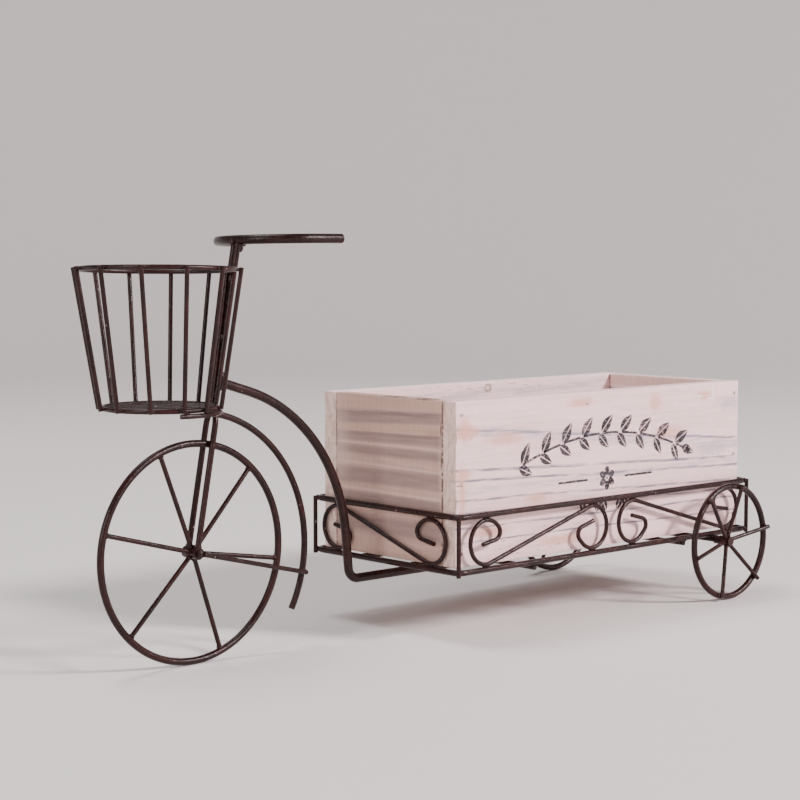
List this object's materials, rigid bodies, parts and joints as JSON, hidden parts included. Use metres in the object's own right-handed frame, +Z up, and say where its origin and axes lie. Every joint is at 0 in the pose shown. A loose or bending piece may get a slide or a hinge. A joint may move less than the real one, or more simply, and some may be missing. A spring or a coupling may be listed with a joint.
{
  "type": "tricycle planter",
  "caption": "Bent-wire tricycle planter with a lift-out wooden box in a scrolled rack, a round basket on the stem and turning spoked wheels.",
  "frame": {"origin": "on the ground, in the middle of the overall length and width", "axes": "+X from the front wheel to the rear wheels, +Y to the right-hand side seen from the front wheel's rider, +Z up"},
  "size_m": [0.5324, 0.1838, 0.2639],
  "materials": {
    "iron": "semi-gloss dark brown paint",
    "white_wood": "whitewashed pine",
    "tan_wood": "thinly whitewashed sawn pine",
    "nail_steel": "dull steel"
  },
  "bodies": {
    "frame": {"main_tube": "iron", "fork_left": "iron", "fork_right": "iron", "handlebar": "iron", "fender": "iron", "fender_stay": "iron", "front_axle": "iron", "basket_top_ring": "iron", "basket_bottom_ring": "iron", "basket_wires": "iron", "basket_floor": "iron", "basket_bow": "iron", "rack_top_rail": "iron", "rack_bottom_rail": "iron", "rack_posts": "iron", "rack_cross_bars": "iron", "rack_long_bars": "iron", "scroll_front": "iron", "scroll_rear": "iron", "scroll_left_front": "iron", "scroll_left_rear": "iron", "scroll_right_front": "iron", "scroll_right_rear": "iron", "rear_axle": "iron", "axle_caps": "iron", "axle_spacers": "iron"},
    "front_wheel": {"front_rim": "iron", "front_spokes": "iron", "front_hub": "iron"},
    "rear_wheel_left": {"rear_rim_left": "iron", "rear_spokes_left": "iron", "rear_hub_left": "iron"},
    "rear_wheel_right": {"rear_rim_right": "iron", "rear_spokes_right": "iron", "rear_hub_right": "iron"},
    "planter_box": {"box_side_left": "white_wood", "box_side_right": "white_wood", "box_end_front": "tan_wood", "box_end_rear": "tan_wood", "box_bottom": "tan_wood", "box_nails": "nail_steel"}
  },
  "joints": [
    {"name": "front_wheel_spin", "type": "hinge", "parent": "frame", "child": "front_wheel", "pos_m": [-0.19428, 0, 0.06925], "axis": [0, 1, 0], "continuous": true},
    {"name": "rear_wheel_left_spin", "type": "hinge", "parent": "frame", "child": "rear_wheel_left", "pos_m": [0.22372, -0.082, 0.0425], "axis": [0, 1, 0], "continuous": true},
    {"name": "rear_wheel_right_spin", "type": "hinge", "parent": "frame", "child": "rear_wheel_right", "pos_m": [0.22372, 0.082, 0.0425], "axis": [0, 1, 0], "continuous": true},
    {"name": "planter_box_lift", "type": "slide", "parent": "frame", "child": "planter_box", "axis": [0, 0, 1], "range_m": [0, 0.06]}
  ]
}
